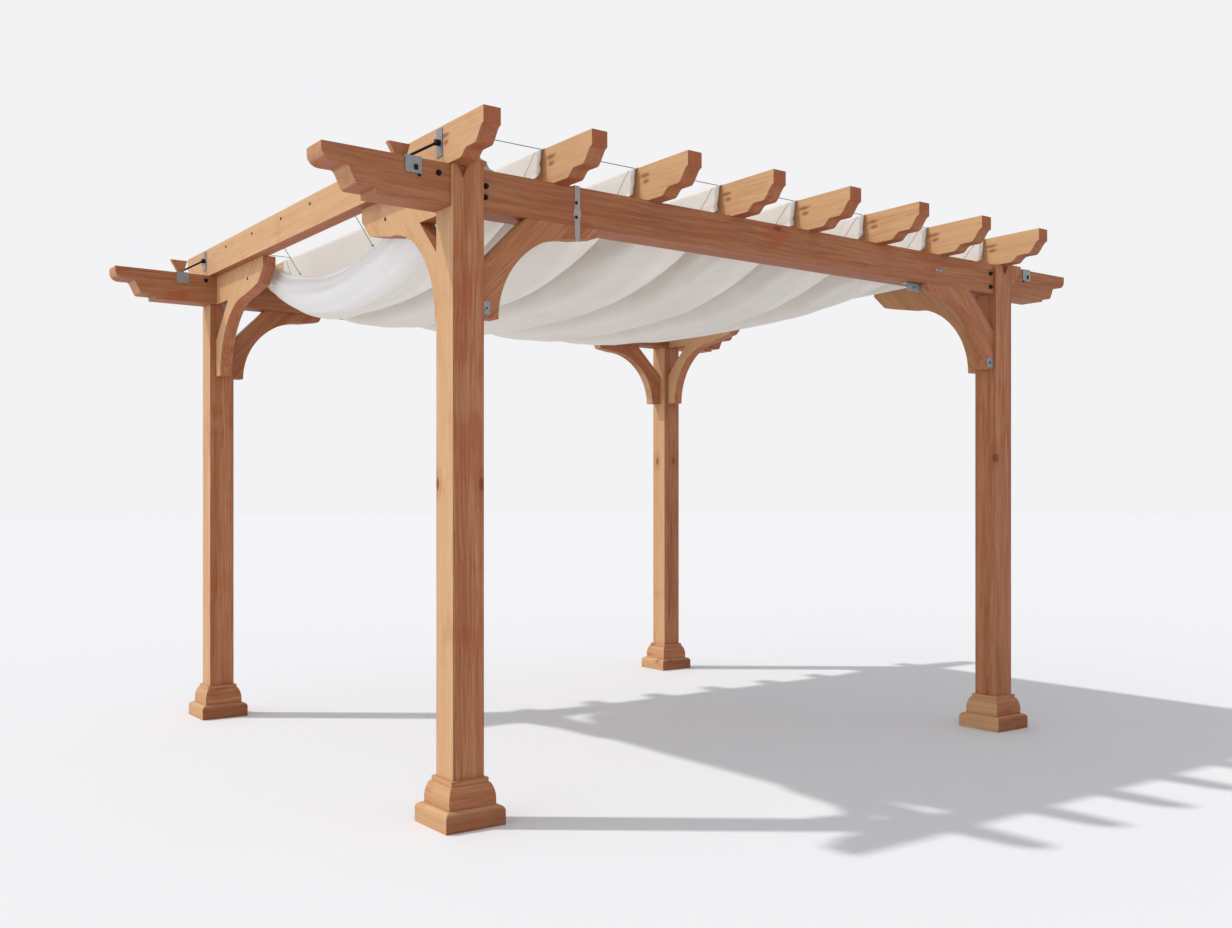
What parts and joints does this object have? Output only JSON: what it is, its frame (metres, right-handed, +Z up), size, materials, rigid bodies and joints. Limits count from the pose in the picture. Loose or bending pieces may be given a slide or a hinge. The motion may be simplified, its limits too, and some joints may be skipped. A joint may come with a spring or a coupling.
{
  "type": "pergola",
  "caption": "Open timber pergola on square posts with moulded bases, arched knee braces, shaped beam and rafter tails, and a pale shade cloth draped over its rafters.",
  "frame": {"origin": "on the ground at the centre of the pergola", "axes": "+X along the front beam to the right, +Y from the front beam to the back beam, +Z up"},
  "size_m": [4.68, 3.66, 2.8086],
  "materials": {
    "post_wood": "oiled softwood",
    "red_wood": "oiled reddish softwood",
    "rafter_wood": "oiled softwood",
    "beam_wood": "oiled softwood",
    "shade_cloth": "woven off-white cloth",
    "zinc": "galvanised",
    "black_metal": "black"
  },
  "bodies": {
    "root": {"post_front_left": "post_wood", "plinth_front_left": "post_wood", "base_mould_front_left": "red_wood", "beam_brace_front_left": "post_wood", "rafter_brace_front_left": "post_wood", "post_front_right": "post_wood", "plinth_front_right": "post_wood", "base_mould_front_right": "red_wood", "beam_brace_front_right": "post_wood", "rafter_brace_front_right": "post_wood", "post_back_left": "post_wood", "plinth_back_left": "post_wood", "base_mould_back_left": "red_wood", "beam_brace_back_left": "post_wood", "rafter_brace_back_left": "post_wood", "post_back_right": "post_wood", "plinth_back_right": "post_wood", "base_mould_back_right": "red_wood", "beam_brace_back_right": "post_wood", "rafter_brace_back_right": "post_wood", "rafter_1": "rafter_wood", "rafter_2": "rafter_wood", "rafter_3": "rafter_wood", "rafter_4": "rafter_wood", "rafter_5": "rafter_wood", "rafter_6": "rafter_wood", "rafter_7": "rafter_wood", "rafter_8": "rafter_wood", "front_beam": "beam_wood", "back_beam": "beam_wood", "canopy": "shade_cloth", "guide_wires": "zinc", "wire_anchors": "zinc", "end_ties": "zinc", "beam_saddles": "zinc", "rafter_plates": "zinc", "stay_rods": "black_metal"}
  },
  "joints": []
}
